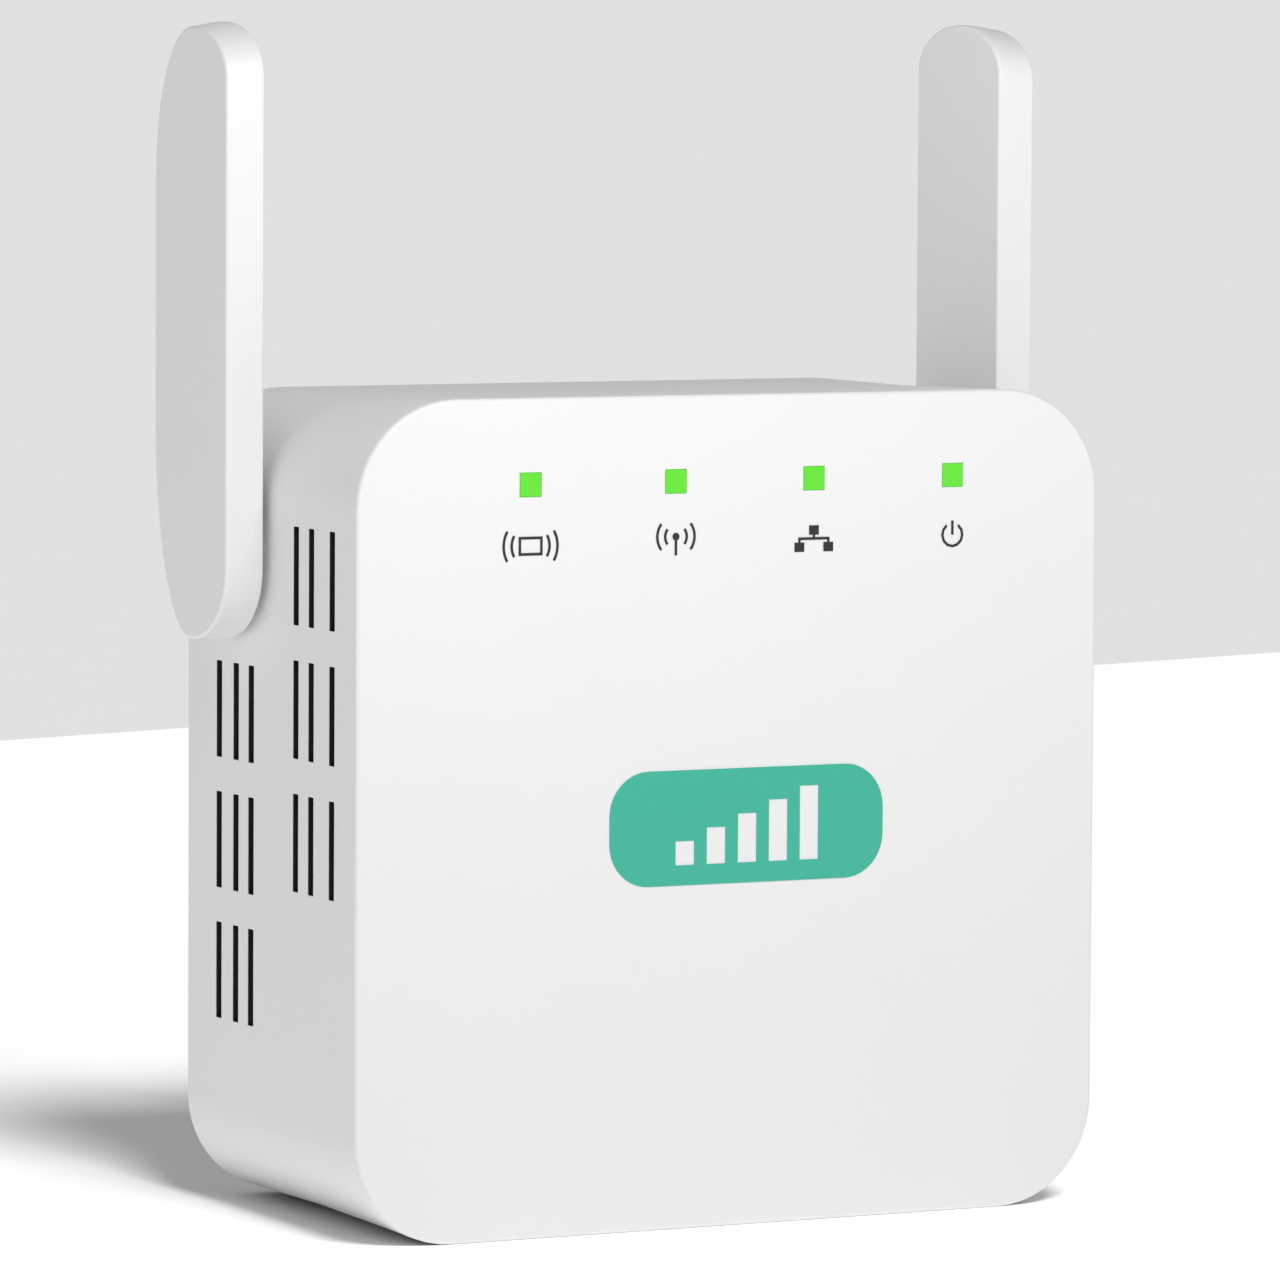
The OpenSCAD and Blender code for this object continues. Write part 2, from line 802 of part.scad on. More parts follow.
module board_capacitors() {
    color([0.75, 0.65, 0.5]) {
        for (x = [-12.5, -9.5, 3.5, 6.5])
            block([x, board_front - 0.8, 53], [x + 1, board_front, 55]);
        for (z = [33, 36, 50])
            block([10, board_front - 0.8, z], [12, board_front, z + 1]);
    }
    color("silver") for (x = [-20, 24]) rod_y(x, 52, 2.5, board_front - 5.4, board_front);
}

module lan_jack() {
    color([0.12, 0.12, 0.12]) difference() {
        block([-jack_half, jack_front, jack_mouth_z],
            [jack_half, jack_front + jack_depth, jack_top_z]);
        block([-cavity_half, cavity_front, jack_mouth_z - cut],
            [cavity_half, cavity_front + cavity_depth, cavity_top_z]);
        block([-latch_half, cavity_front + cavity_depth - cut, jack_mouth_z - cut],
            [latch_half, cavity_front + cavity_depth + latch_depth, cavity_top_z - 2]);
    }
}

// Eight sprung wires lie against the cavity's front wall and lean into it.
module jack_contacts() {
    w = 0.45;
    t = 0.3;
    y = cavity_front;
    color("gold") for (i = [0 : contact_count - 1])
        translate([(i - (contact_count - 1) / 2) * contact_pitch - w / 2, 0, 0])
            rotate([90, 0, 90]) linear_extrude(w) polygon([
                [y, 3], [y, cavity_top_z], [y + t, cavity_top_z],
                [y + t, 3.8], [y + 1.5, 9.5], [y + 1.8, 9.4], [y + t + 0.1, 3]]);
}

module antenna_connectors() {
    color("gold") for (x = [-connector_x, connector_x]) {
        rod_y(x, connector_z, 1.3, board_back, board_back + 1.2);
        block([x - 1.5, board_back, connector_z - 1.5], [x + 1.5, board_back + 0.4, connector_z + 1.5]);
    }
}

// The coaxial lead between a hinge and the main board, on the right-hand side.
module pigtail() {
    y = board_back + 0.7;
    color([0.2, 0.2, 0.2]) wire([
        [tube_end_x - 0.4, hinge_y, hinge_height], [tube_end_x - 1, hinge_y - 0.1, hinge_height],
        [tube_end_x - 1.7, hinge_y - 0.9, 60.5], [tube_end_x - 1.9, hinge_y - 2.6, 59.8],
        [tube_end_x - 1.9, -14.5, 58.2], [31.2, -17.8, 56], [30.3, -20.4, 53.8],
        [29.2, -22.1, 51.5], [28.4, y + 0.1, 49.6], [28, y, 48.4], [28, y, 47.6]], lead_radius);
}

module left_pigtail() {
    mirror([1, 0, 0]) pigtail();
}

module right_pigtail() {
    pigtail();
}

module pairing_button() {
    color([0.85, 0.85, 0.85]) translate([button_offset, button_y, 0]) {
        translate([0, 0, button_face]) cylinder(r = button_radius, h = button_flange_z - button_face);
        translate([0, 0, button_flange_z]) cylinder(r = button_radius + 0.9, h = button_flange);
    }
}

module switch_body(x) {
    color([0.15, 0.15, 0.15]) difference() {
        block([x - switch_half, board_back, switch_z],
            [x + switch_half, board_back + switch_depth, switch_z + switch_height]);
        translate([x, button_y, switch_z - cut])
            cylinder(r = stem_radius + stem_clearance, h = cut + 1.3);
    }
}

module switch_stem(x, low) {
    color([0.9, 0.9, 0.85]) translate([x, button_y, low])
        cylinder(r = stem_radius, h = stem_top - low);
}

module pairing_switch() {
    switch_body(button_offset);
}

module pairing_stem() {
    switch_stem(button_offset, button_flange_z + button_flange);
}

module reset_switch() {
    switch_body(-button_offset);
}

module reset_stem() {
    switch_stem(-button_offset, reset_stem_z);
}

// The right-hand antenna. The left-hand one is its mirror image.
module antenna_shell() {
    thin = 0.01;
    low_x = paddle_x + lid_thickness;
    high_x = paddle_x + antenna_thickness;
    color("white") difference() {
        hull() {
            hinge_prism(low_x, low_x + thin) polygon(paddle(inner_face));
            hinge_prism(high_x - thin, high_x) polygon(paddle(outer_face));
        }
        hinge_prism(paddle_x, high_x - shell_wall) polygon(paddle(outer_face, shell_wall));
    }
}

module antenna_base() {
    color("white") difference() {
        union() {
            hinge_prism(paddle_x, paddle_x + lid_thickness) polygon(paddle(inner_face));
            hinge_rod(collar_radius, side_x + collar_clearance, paddle_x + 0.1);
            hinge_rod(hinge_radius, tube_end_x, paddle_x);
        }
        hinge_rod(lead_hole, tube_end_x - cut, paddle_x + lid_thickness + cut);
        difference() {
            hinge_rod(hinge_radius + cut, clip_x, clip_x + clip_thickness);
            hinge_rod(hinge_radius - clip_groove, clip_x - cut, clip_x + clip_thickness + cut);
        }
    }
}

module antenna_element() {
    low = 5.2;
    high = 43;
    color([0.05, 0.35, 0.2])
        block([lead_x + lead_radius + 0.05, hinge_y - 4.5, hinge_height + low],
            [lead_x + lead_radius + 0.65, hinge_y + 4.5, hinge_height + high]);
}

module antenna_lead() {
    z = hinge_height;
    color([0.2, 0.2, 0.2]) wire([
        [lead_x, hinge_y, z + 9], [lead_x, hinge_y, z + 4], [lead_x, hinge_y, z + 2.3],
        [lead_x - 0.15, hinge_y, z + 1.3], [lead_x - 0.7, hinge_y, z + 0.5],
        [lead_x - 1.6, hinge_y, z + 0.1], [lead_x - 2.6, hinge_y, z],
        [tube_end_x, hinge_y, z]], lead_radius);
}

module hinge_clip() {
    color("silver") difference() {
        hinge_rod(hinge_radius + 1.6, clip_x, clip_x + clip_thickness);
        hinge_rod(hinge_radius - clip_groove, clip_x - cut, clip_x + clip_thickness + cut);
        block([clip_x - cut, hinge_y - 2.6, hinge_height - 8],
            [clip_x + clip_thickness + cut, hinge_y + 2.6, hinge_height]);
    }
}

module hinge_washer() {
    color([0.3, 0.3, 0.3]) difference() {
        hinge_rod(hinge_radius + 2, clip_x + clip_thickness, ring_x - play);
        hinge_rod(hinge_radius, clip_x, ring_x);
    }
}

module left_antenna_shell() {
    mirror([1, 0, 0]) antenna_shell();
}

module left_antenna_base() {
    mirror([1, 0, 0]) antenna_base();
}

module left_antenna_element() {
    mirror([1, 0, 0]) antenna_element();
}

module left_antenna_lead() {
    mirror([1, 0, 0]) antenna_lead();
}

module left_hinge_clip() {
    mirror([1, 0, 0]) hinge_clip();
}

module left_hinge_washer() {
    mirror([1, 0, 0]) hinge_washer();
}

module right_antenna_shell() {
    antenna_shell();
}

module right_antenna_base() {
    antenna_base();
}

module right_antenna_element() {
    antenna_element();
}

module right_antenna_lead() {
    antenna_lead();
}

module right_hinge_clip() {
    hinge_clip();
}

module right_hinge_washer() {
    hinge_washer();
}

rear_housing();
front_cover();
badge();
light_symbols();
light_pipe();
status_lights();
rating_label();
plug_insert();
plug_pins();
pin_sleeves();
power_board();
power_board_screws();
fuse_resistor();
surge_disc();
bridge_rectifier();
input_choke();
input_capacitors();
switching_chip();
transformer_core();
transformer_winding();
transformer_bobbin();
safety_capacitor();
output_diode();
output_capacitors();
power_connector();
power_leads();
insulation_sheet();
main_board();
board_screws();
radio_chip();
heat_sink();
memory_chip();
crystal();
lan_transformer();
regulator_coil();
board_capacitors();
lan_jack();
jack_contacts();
antenna_connectors();
left_pigtail();
right_pigtail();
pairing_button();
pairing_switch();
pairing_stem();
reset_switch();
reset_stem();
left_antenna_shell();
left_antenna_base();
left_antenna_element();
left_antenna_lead();
left_hinge_clip();
left_hinge_washer();
right_antenna_shell();
right_antenna_base();
right_antenna_element();
right_antenna_lead();
right_hinge_clip();
right_hinge_washer();
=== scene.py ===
"""Looks of the wifi range extender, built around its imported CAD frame.
Lengths are in metres. The front faces -Y, +Z is up, and the body stands on Z = 0.
"""

import json
import math

import bmesh
import bpy
from mathutils import Matrix, Vector


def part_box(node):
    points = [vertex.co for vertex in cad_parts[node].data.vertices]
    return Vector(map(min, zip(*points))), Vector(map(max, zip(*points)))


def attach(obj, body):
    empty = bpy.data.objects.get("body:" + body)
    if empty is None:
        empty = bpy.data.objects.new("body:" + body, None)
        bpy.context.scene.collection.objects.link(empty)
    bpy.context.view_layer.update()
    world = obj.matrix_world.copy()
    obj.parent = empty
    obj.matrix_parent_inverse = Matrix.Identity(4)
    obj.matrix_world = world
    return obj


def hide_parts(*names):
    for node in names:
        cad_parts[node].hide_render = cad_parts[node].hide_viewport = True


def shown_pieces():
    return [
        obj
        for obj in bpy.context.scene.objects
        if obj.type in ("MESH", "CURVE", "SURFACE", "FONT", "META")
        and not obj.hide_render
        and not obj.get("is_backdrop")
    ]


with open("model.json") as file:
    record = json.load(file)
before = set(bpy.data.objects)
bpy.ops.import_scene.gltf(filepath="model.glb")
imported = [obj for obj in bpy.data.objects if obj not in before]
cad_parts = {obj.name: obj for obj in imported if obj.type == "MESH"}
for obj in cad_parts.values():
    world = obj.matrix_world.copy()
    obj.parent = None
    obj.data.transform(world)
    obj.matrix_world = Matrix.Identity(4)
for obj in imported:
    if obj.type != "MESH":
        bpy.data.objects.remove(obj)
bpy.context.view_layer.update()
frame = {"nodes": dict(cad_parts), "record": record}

MM = 0.001

# ---------------------------------------------------------------- measurements from the frame

cover_low, cover_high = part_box("front_cover")
housing_low, housing_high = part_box("rear_housing")
_, shell_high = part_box("right_antenna_shell")
base_low, base_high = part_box("right_antenna_base")
_, insert_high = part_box("plug_insert")
pins_low, pins_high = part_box("plug_pins")
sleeves_low, sleeves_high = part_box("pin_sleeves")
button_low, button_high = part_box("pairing_button")

FRONT_Y = cover_low.y
SEAM_Y = housing_low.y
REAR_Y = housing_high.y
COVER_SIZE = cover_high.z - cover_low.z
COVER_RADIUS = 9.8 * MM
MIDDLE_Z = COVER_SIZE / 2
HOUSING_SIZE = 75 * MM
HOUSING_RADIUS = 9.3 * MM
SIDE_X = HOUSING_SIZE / 2
FLOOR_Z = (COVER_SIZE - HOUSING_SIZE) / 2
WALL = 1.8 * MM
BACK_WALL = 2 * MM
HINGE_Y = FRONT_Y + 27.15 * MM
HINGE_Z = 60.5 * MM
HINGE_AT = (0, HINGE_Y, HINGE_Z)
RING_DEPTH = 0.7 * MM
HINGE_BORE = 4.05 * MM
BOSS_Y = insert_high.y
TIP_Y = pins_high.y
PLUG_Z = 45 * MM
PIN_X = 9.3 * MM
ARC_STEPS = 12


# ---------------------------------------------------------------- mesh helpers

def ellipse_arc(centre, radii, start, end, steps=ARC_STEPS):
    """Points of part of an ellipse in a plane, with angles in degrees."""
    points = []
    for i in range(steps + 1):
        angle = math.radians(start + (end - start) * i / steps)
        points.append((centre[0] + radii[0] * math.cos(angle), centre[1] + radii[1] * math.sin(angle)))
    return points


def arc(centre, radius, start, end, steps=ARC_STEPS):
    """Points of an arc in a plane, with angles in degrees."""
    return ellipse_arc(centre, (radius, radius), start, end, steps)


def rounded(width, height, radius, steps=ARC_STEPS):
    """A rounded rectangle's outline, anticlockwise about its middle."""
    w = width / 2 - radius
    h = height / 2 - radius
    return (
        arc((w, h), radius, 0, 90, steps)
        + arc((-w, h), radius, 90, 180, steps)
        + arc((-w, -h), radius, 180, 270, steps)
        + arc((w, -h), radius, 270, 360, steps)
    )


def paddle(share, inset=0.0):
    """An antenna's outline in Y and Z about its hinge, drawn in by inset: four quarter ellipses.
    The rear rounds are short on the inner face, where share is 0, and long on the outer, where it is 1.
    """
    half = 7.9 * MM
    low = -7.4 * MM
    tip_drop = 0.4 * MM * share
    high = low + base_high.z - base_low.z - tip_drop
    rear_top = (4.2 + 9.6 * share) * MM
    front_top = 4.8 * MM
    front_low = 6.8 * MM
    rear_low = (6.8 + 12.7 * share) * MM
    quarters = (
        (high - rear_top, rear_top, 0),
        (high - front_top, front_top, 90),
        (low + front_low, front_low, 180),
        (low + rear_low, rear_low, 270),
    )
    points = []
    for middle, height, start in quarters:
        points += ellipse_arc((0, middle), (half - inset, height - inset), start, start + 90, 20)
    return points


def in_xz(points, y, x=0.0, z=0.0):
    """An outline's points on the plane at y."""
    return [Vector((x + a, y, z + b)) for a, b in points]


def about_hinge(points, x):
    """An outline's points in Y and Z about the hinge, on the plane at x."""
    return [Vector((x, HINGE_Y + a, HINGE_Z + b)) for a, b in points]


def add_loft(mesh, rings, close_start=True, close_end=True, loop=False):
    """Joins rings that have the same number of points, and caps both ends."""
    made = [[mesh.verts.new(p) for p in ring] for ring in rings]
    count = len(made[0])
    pairs = list(zip(made, made[1:]))
    if loop:
        pairs.append((made[-1], made[0]))
    for low, high in pairs:
        for i in range(count):
            j = (i + 1) % count
            mesh.faces.new((low[i], low[j], high[j], high[i]))
    if close_start and not loop:
        mesh.faces.new(list(reversed(made[0])))
    if close_end and not loop:
        mesh.faces.new(made[-1])


def add_block(mesh, low, high):
    """A box from one corner to the opposite one."""
    outline = [(low[0], low[1]), (high[0], low[1]), (high[0], high[1]), (low[0], high[1])]
    add_loft(mesh, [[Vector((a, b, z)) for a, b in outline] for z in (low[2], high[2])])


def add_lathe(mesh, profile, place, axis, sides=48, close=True):
    """Turns a profile of (distance along the axis, radius) about an axis through place."""
    turn = Vector((0, 0, 1)).rotation_difference(Vector(axis)).to_matrix().to_4x4()
    frame_at = Matrix.Translation(Vector(place)) @ turn
    rings = []
    for along, radius in profile:
        ring = []
        for i in range(sides):
            angle = 2 * math.pi * i / sides
            point = Vector((radius * math.cos(angle), radius * math.sin(angle), along))
            ring.append(frame_at @ point)
        rings.append(ring)
    add_loft(mesh, rings, close_start=close, close_end=close, loop=not close)


def fillet(start, end, radius, steps=6):
    """A quarter round as (along, inset) pairs: along runs from start to end, and inset from 0 to radius."""
    pairs = []
    for i in range(steps + 1):
        angle = math.radians(90 * i / steps)
        along = start + (end - start) * math.sin(angle)
        pairs.append((along, radius * (1 - math.cos(angle))))
    return pairs


def finish_mesh(mesh, name):
    """Makes an object from mesh code, with its faces turned outwards."""
    bmesh.ops.recalc_face_normals(mesh, faces=mesh.faces)
    data = bpy.data.meshes.new(name)
    mesh.to_mesh(data)
    mesh.free()
    piece = bpy.data.objects.new(name, data)
    bpy.context.scene.collection.objects.link(piece)
    return piece


def cut(piece, cutters, operation="DIFFERENCE"):
    """Applies one exact boolean to a piece, and removes the cutter."""
    modifier = piece.modifiers.new("cut", "BOOLEAN")
    modifier.operation = operation
    modifier.solver = "EXACT"
    modifier.object = cutters
    bake(piece)
    bpy.data.objects.remove(cutters)


def bake(piece):
    """Applies a piece's modifiers to its mesh."""
    bpy.context.view_layer.update()
    shape = piece.evaluated_get(bpy.context.evaluated_depsgraph_get())
    data = bpy.data.meshes.new_from_object(shape)
    piece.modifiers.clear()
    old = piece.data
    piece.data = data
    bpy.data.meshes.remove(old)


def soften(piece, width, segments=2, angle=32, chosen=None):
    """Bevels a piece's sharp edges, or the sharp ones whose middle passes a test."""
    mesh = bmesh.new()
    mesh.from_mesh(piece.data)
    bmesh.ops.remove_doubles(mesh, verts=mesh.verts, dist=1e-7)
    edges = []
    for edge in mesh.edges:
        if len(edge.link_faces) != 2:
            continue
        if edge.calc_face_angle(0) < math.radians(angle):
            continue
        middle = (edge.verts[0].co + edge.verts[1].co) / 2
        if chosen is None or chosen(middle):
            edges.append(edge)
    bmesh.ops.bevel(
        mesh, geom=edges, offset=width, offset_type="OFFSET", segments=segments,
        profile=0.5, affect="EDGES", clamp_overlap=True,
    )
    mesh.to_mesh(piece.data)
    mesh.free()


def shade(piece, angle=32):
    """Smooth shading with sharp edges kept, weighted by face area."""
    for face in piece.data.polygons:
        face.use_smooth = True
    mesh = bmesh.new()
    mesh.from_mesh(piece.data)
    for edge in mesh.edges:
        edge.smooth = edge.calc_face_angle(0) < math.radians(angle)
    mesh.to_mesh(piece.data)
    mesh.free()
    weighted = piece.modifiers.new("weighted", "WEIGHTED_NORMAL")
    weighted.keep_sharp = True


# ---------------------------------------------------------------- materials

def new_material(name):
    material = bpy.data.materials.new(name)
    material.use_nodes = True
    nodes = material.node_tree.nodes
    return material, nodes, material.node_tree.links, nodes["Principled BSDF"]


def surface(name, color, roughness, shift=0.03, grain=2500.0, bump=0.05, metallic=0.0,
            rough_shift=0.06, coat=0.0, stretch=(1, 1, 1), depth=0.00002):
    """A procedural material: slight colour and roughness variation, and a fine grain in the bump."""
    material, nodes, links, shader = new_material(name)
    shader.inputs["Metallic"].default_value = metallic
    shader.inputs["Coat Weight"].default_value = coat
    place = nodes.new("ShaderNodeTexCoord")
    mapping = nodes.new("ShaderNodeMapping")
    mapping.inputs["Scale"].default_value = stretch
    links.new(place.outputs["Object"], mapping.inputs["Vector"])
    broad = nodes.new("ShaderNodeTexNoise")
    broad.inputs["Scale"].default_value = 60.0
    broad.inputs["Detail"].default_value = 3.0
    links.new(mapping.outputs["Vector"], broad.inputs["Vector"])
    fine = nodes.new("ShaderNodeTexNoise")
    fine.inputs["Scale"].default_value = grain
    fine.inputs["Detail"].default_value = 2.0
    links.new(mapping.outputs["Vector"], fine.inputs["Vector"])
    tone = nodes.new("ShaderNodeValToRGB")
    low = [c * (1 - shift) for c in color]
    high = [min(1.0, c * (1 + shift)) for c in color]
    tone.color_ramp.elements[0].position = 0.3
    tone.color_ramp.elements[0].color = (*low, 1)
    tone.color_ramp.elements[1].position = 0.7
    tone.color_ramp.elements[1].color = (*high, 1)
    links.new(broad.outputs["Fac"], tone.inputs["Fac"])
    links.new(tone.outputs["Color"], shader.inputs["Base Color"])
    gloss = nodes.new("ShaderNodeMapRange")
    gloss.inputs["To Min"].default_value = roughness - rough_shift
    gloss.inputs["To Max"].default_value = roughness + rough_shift
    links.new(fine.outputs["Fac"], gloss.inputs["Value"])
    links.new(gloss.outputs["Result"], shader.inputs["Roughness"])
    relief = nodes.new("ShaderNodeBump")
    relief.inputs["Strength"].default_value = bump
    relief.inputs["Distance"].default_value = depth
    links.new(fine.outputs["Fac"], relief.inputs["Height"])
    links.new(relief.outputs["Normal"], shader.inputs["Normal"])
    return material


def glowing(name, color, strength):
    """A lit window: a bright face that is a little uneven, under a thin gloss."""
    material = surface(name, color, 0.3, shift=0.02, bump=0.02)
    nodes = material.node_tree.nodes
    links = material.node_tree.links
    shader = nodes["Principled BSDF"]
    place = nodes["Texture Coordinate"]
    cloud = nodes.new("ShaderNodeTexNoise")
    cloud.inputs["Scale"].default_value = 900.0
    links.new(place.outputs["Object"], cloud.inputs["Vector"])
    glow = nodes.new("ShaderNodeValToRGB")
    glow.color_ramp.elements[0].color = (*[c * 0.93 for c in color], 1)
    glow.color_ramp.elements[1].color = (*[min(1.0, c * 1.05) for c in color], 1)
    links.new(cloud.outputs["Fac"], glow.inputs["Fac"])
    links.new(glow.outputs["Color"], shader.inputs["Emission Color"])
    shader.inputs["Emission Strength"].default_value = strength
    return material


WHITE = surface("white_plastic", (0.86, 0.86, 0.865), 0.42, shift=0.004, grain=5200, bump=0.035)
# Painted shade: a near-black material that stands in for the shadow inside the vent slots, whose real walls
# are white plastic.
PAINTED_SHADE = surface("slot_painted_shade", (0.012, 0.012, 0.013), 0.7, shift=0.2, bump=0.05)
MATERIALS = {
    "white_plastic": WHITE,
    "teal_print": surface("teal_print", (0.0431, 0.47, 0.335), 0.4, shift=0.01, grain=4000, bump=0.03),
    "black_print": surface("black_print", (0.018, 0.018, 0.02), 0.45, shift=0.1, grain=4000),
    "green_light": glowing("green_light", (0.075, 0.46, 0.017), 0.7),
    "led_resin": surface("led_resin", (0.7, 0.9, 0.6), 0.2, coat=0.4),
    "label_film": surface("label_film", (0.78, 0.78, 0.79), 0.35, shift=0.01, grain=3000, bump=0.04),
    "nickel": surface("nickel", (0.75, 0.73, 0.69), 0.24, shift=0.03, grain=900, bump=0.05,
                      metallic=1.0, stretch=(1, 0.05, 1)),
    "black_plastic": surface("black_plastic", (0.028, 0.028, 0.03), 0.5, shift=0.15, bump=0.15),
    "tan_board": surface("tan_board", (0.5, 0.34, 0.14), 0.6, shift=0.12, grain=1800, bump=0.2),
    "green_board": surface("green_board", (0.02, 0.16, 0.06), 0.35, shift=0.2, grain=1500,
                           bump=0.12, coat=0.3),
    "steel": surface("steel", (0.56, 0.56, 0.55), 0.35, shift=0.06, grain=2500, bump=0.12,
                     metallic=1.0),
    "green_lacquer": surface("green_lacquer", (0.13, 0.28, 0.14), 0.25, shift=0.1, coat=0.5),
    "blue_lacquer": surface("blue_lacquer", (0.04, 0.15, 0.48), 0.22, shift=0.08, coat=0.6),
    "chip_resin": surface("chip_resin", (0.03, 0.03, 0.032), 0.6, shift=0.2, bump=0.25),
    "ferrite": surface("ferrite", (0.09, 0.09, 0.1), 0.65, shift=0.2, grain=3500, bump=0.35),
    "dark_sleeve": surface("dark_sleeve", (0.025, 0.035, 0.11), 0.25, shift=0.1, coat=0.4),
    "yellow_tape": surface("yellow_tape", (0.8, 0.58, 0.07), 0.35, shift=0.1, grain=1200,
                           bump=0.2, stretch=(1, 1, 0.2)),
    "ivory_plastic": surface("ivory_plastic", (0.78, 0.75, 0.66), 0.5, shift=0.03),
    "wire_jacket": surface("wire_jacket", (0.58, 0.028, 0.028), 0.4, shift=0.08),
    "fish_paper": surface("fish_paper", (0.7, 0.7, 0.64), 0.6, shift=0.06, grain=1200, bump=0.25),
    "aluminium": surface("aluminium", (0.74, 0.74, 0.76), 0.36, shift=0.04, grain=1500,
                         bump=0.15, metallic=1.0, stretch=(1, 1, 0.04)),
    "ceramic_chip": surface("ceramic_chip", (0.52, 0.4, 0.28), 0.5, shift=0.1),
    "gold": surface("gold", (0.84, 0.62, 0.24), 0.25, shift=0.04, metallic=1.0),
    "cable_jacket": surface("cable_jacket", (0.04, 0.04, 0.042), 0.45, shift=0.15, bump=0.15),
    "grey_plastic": surface("grey_plastic", (0.62, 0.62, 0.63), 0.45, shift=0.01, grain=4500,
                            bump=0.05),
    "rubber": surface("rubber", (0.06, 0.06, 0.06), 0.8, shift=0.2, grain=3000, bump=0.4),
}


def settle(piece, body, slot, nodes):
    """Gives a piece its material and its body, and hides the CAD nodes that it stands for."""
    if not piece.data.materials:
        piece.data.materials.append(MATERIALS[slot])
    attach(piece, body)
    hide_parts(*nodes)


# ---------------------------------------------------------------- front cover

LIGHT_X = [-20.8 * MM, -6.1 * MM, 8.1 * MM, 22.6 * MM]
LIGHT_Z = 68.2 * MM
WINDOW = 2.2 * MM
COVER_EDGE = 0.4 * MM
SNAP_X = [-18 * MM, 18 * MM]
SNAP_HALF = 4 * MM
SNAP_FRONT = SEAM_Y + 0.9 * MM
SNAP_BACK = SEAM_Y + 2.1 * MM


def body_ring(size, radius, y):
    """A rounded square about the body's middle, on the plane at y."""
    return in_xz(rounded(size, size, radius), y, z=MIDDLE_Z)


def add_snaps(mesh, grow):
    """The cover's four snap ridges, or with grow the grooves that take them."""
    inner = FLOOR_Z + WALL
    into_wall = 0.5 * MM
    into_skirt = 0.3 * MM
    heights = (
        (inner - into_wall, inner + into_skirt),
        (COVER_SIZE - inner - into_skirt, COVER_SIZE - inner + into_wall),
    )
    for x in SNAP_X:
        for low_z, high_z in heights:
            low = (x - SNAP_HALF - grow, SNAP_FRONT, low_z)
            high = (x + SNAP_HALF + grow, SNAP_BACK + grow, high_z)
            add_block(mesh, low, high)


def build_cover():
    gap = 0.1 * MM
    skirt = HOUSING_SIZE - 2 * WALL - 2 * gap
    skirt_radius = HOUSING_RADIUS - WALL - gap
    thin = 1.1 * MM
    chamfer = 0.1 * MM
    seam = 0.04 * MM
    rings = [
        body_ring(skirt - 2 * thin, skirt_radius - thin, SEAM_Y),
        body_ring(skirt - 2 * thin, skirt_radius - thin, SEAM_Y + 2.4 * MM),
        body_ring(skirt - 2 * chamfer, skirt_radius - chamfer, SEAM_Y + 2.5 * MM),
        body_ring(skirt, skirt_radius, SEAM_Y + 2.3 * MM),
        body_ring(skirt, skirt_radius, SEAM_Y),
        body_ring(COVER_SIZE - 2 * seam, COVER_RADIUS - seam, SEAM_Y),
        body_ring(COVER_SIZE, COVER_RADIUS, SEAM_Y - seam),
    ]
    for along, inset in fillet(FRONT_Y + COVER_EDGE, FRONT_Y, COVER_EDGE, 8):
        rings.append(body_ring(COVER_SIZE - 2 * inset, COVER_RADIUS - inset, along))
    mesh = bmesh.new()
    add_loft(mesh, rings)
    cover = finish_mesh(mesh, "cover")
    mesh = bmesh.new()
    half = WINDOW / 2
    for x in LIGHT_X:
        low = (x - half, FRONT_Y - MM, LIGHT_Z - half)
        high = (x + half, SEAM_Y + MM, LIGHT_Z + half)
        add_block(mesh, low, high)
    cut(cover, finish_mesh(mesh, "windows"))

    def around_windows(p):
        return abs(p.z - LIGHT_Z) < 1.6 * MM and p.y < FRONT_Y + 0.1 * MM

    soften(cover, 0.06 * MM, 2, 60, around_windows)
    mesh = bmesh.new()
    add_snaps(mesh, 0)
    cut(cover, finish_mesh(mesh, "snaps"), "UNION")
    shade(cover)
    settle(cover, "root", "white_plastic", ["front_cover"])


# ---------------------------------------------------------------- rear housing

SLOT_WIDTH = 1.2 * MM
SLOT_HEIGHT = 8.9 * MM
FRONT_SLOTS = [5.5 * MM, 10.1 * MM, 13.5 * MM]
BACK_SLOTS = [23.5 * MM, 26.8 * MM, 30.5 * MM]
ROW_PITCH = 12.1 * MM
FRONT_TOP = 59.6 * MM
BACK_TOP = 46.3 * MM
REAR_EDGE = 0.9 * MM
JACK_FRONT = FRONT_Y + 11.1 * MM
JACK_DEPTH = 13.5 * MM
BUTTON_X = 18 * MM
BUTTON_Y = JACK_FRONT + 1.75 * MM
BUTTON_HOLE = 2.6 * MM
PINHOLE = 0.6 * MM
POST_RADIUS = 3 * MM
POST_HOLE = 1.1 * MM


def slot_places():
    """The middle (y, z) of every vent slot of one side."""
    places = []
    for row in range(3):
        for setback in FRONT_SLOTS:
            places.append((FRONT_Y + setback, FRONT_TOP - row * ROW_PITCH))
        for setback in BACK_SLOTS:
            places.append((FRONT_Y + setback, BACK_TOP - row * ROW_PITCH))
    return places


def add_slot(mesh, side, y, z):
    """One vent slot's cutter, with slightly rounded corners."""
    outline = rounded(SLOT_WIDTH, SLOT_HEIGHT, 0.08 * MM, 2)
    near = side * (SIDE_X - WALL - MM)
    far = side * (SIDE_X + MM)
    add_loft(mesh, [[Vector((x, y + a, z + b)) for a, b in outline] for x in (near, far)])


def plug_outline(grow=0.0):
    """The plug boss's outline, with its ends cut back at the corners."""
    w = 17.65 * MM + grow
    h = 6.85 * MM + grow
    end = 2.6 * MM
    corner = 4.6 * MM
    return [(w, -end), (w, end), (w - corner, h), (corner - w, h),
            (-w, end), (-w, -end), (corner - w, -h), (w - corner, -h)]


